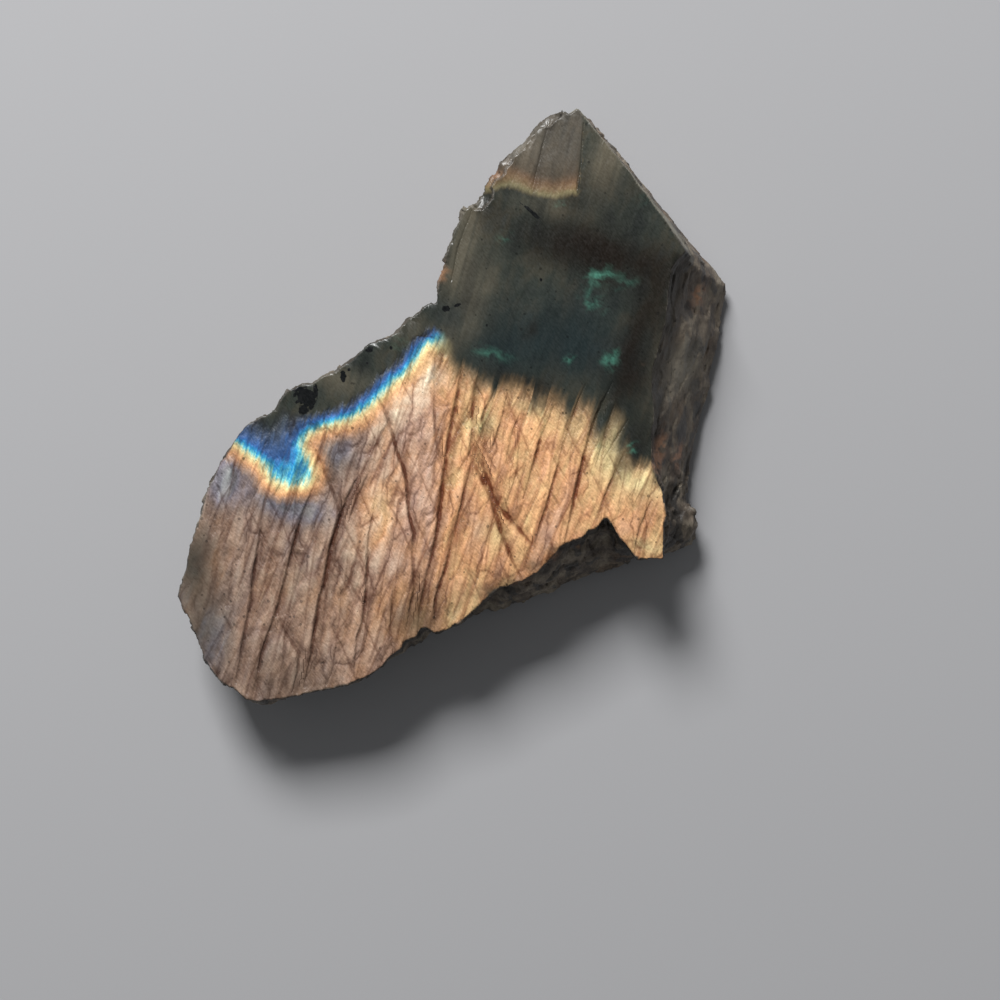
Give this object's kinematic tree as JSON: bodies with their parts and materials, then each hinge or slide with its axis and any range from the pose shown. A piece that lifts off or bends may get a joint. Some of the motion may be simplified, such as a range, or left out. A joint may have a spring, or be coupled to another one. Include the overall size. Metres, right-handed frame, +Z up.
{
  "type": "rough labradorite chunk",
  "caption": "Hand-size broken slab of labradorite with one flat ground face that shows the colour play, and rough fractured edges.",
  "frame": {"origin": "on the flat underside, below the middle of the stone", "axes": "+Z up out of the ground face, +Y towards the pointed head, +X towards the dark striated facet"},
  "size_m": [0.0676, 0.0728, 0.0136],
  "materials": {
    "labradorite": "ground face, satin, with blue to gold and copper colour play; rough dark grey-brown fracture on the edges"
  },
  "bodies": {
    "root": {"labradorite_chunk": "labradorite"}
  },
  "joints": []
}
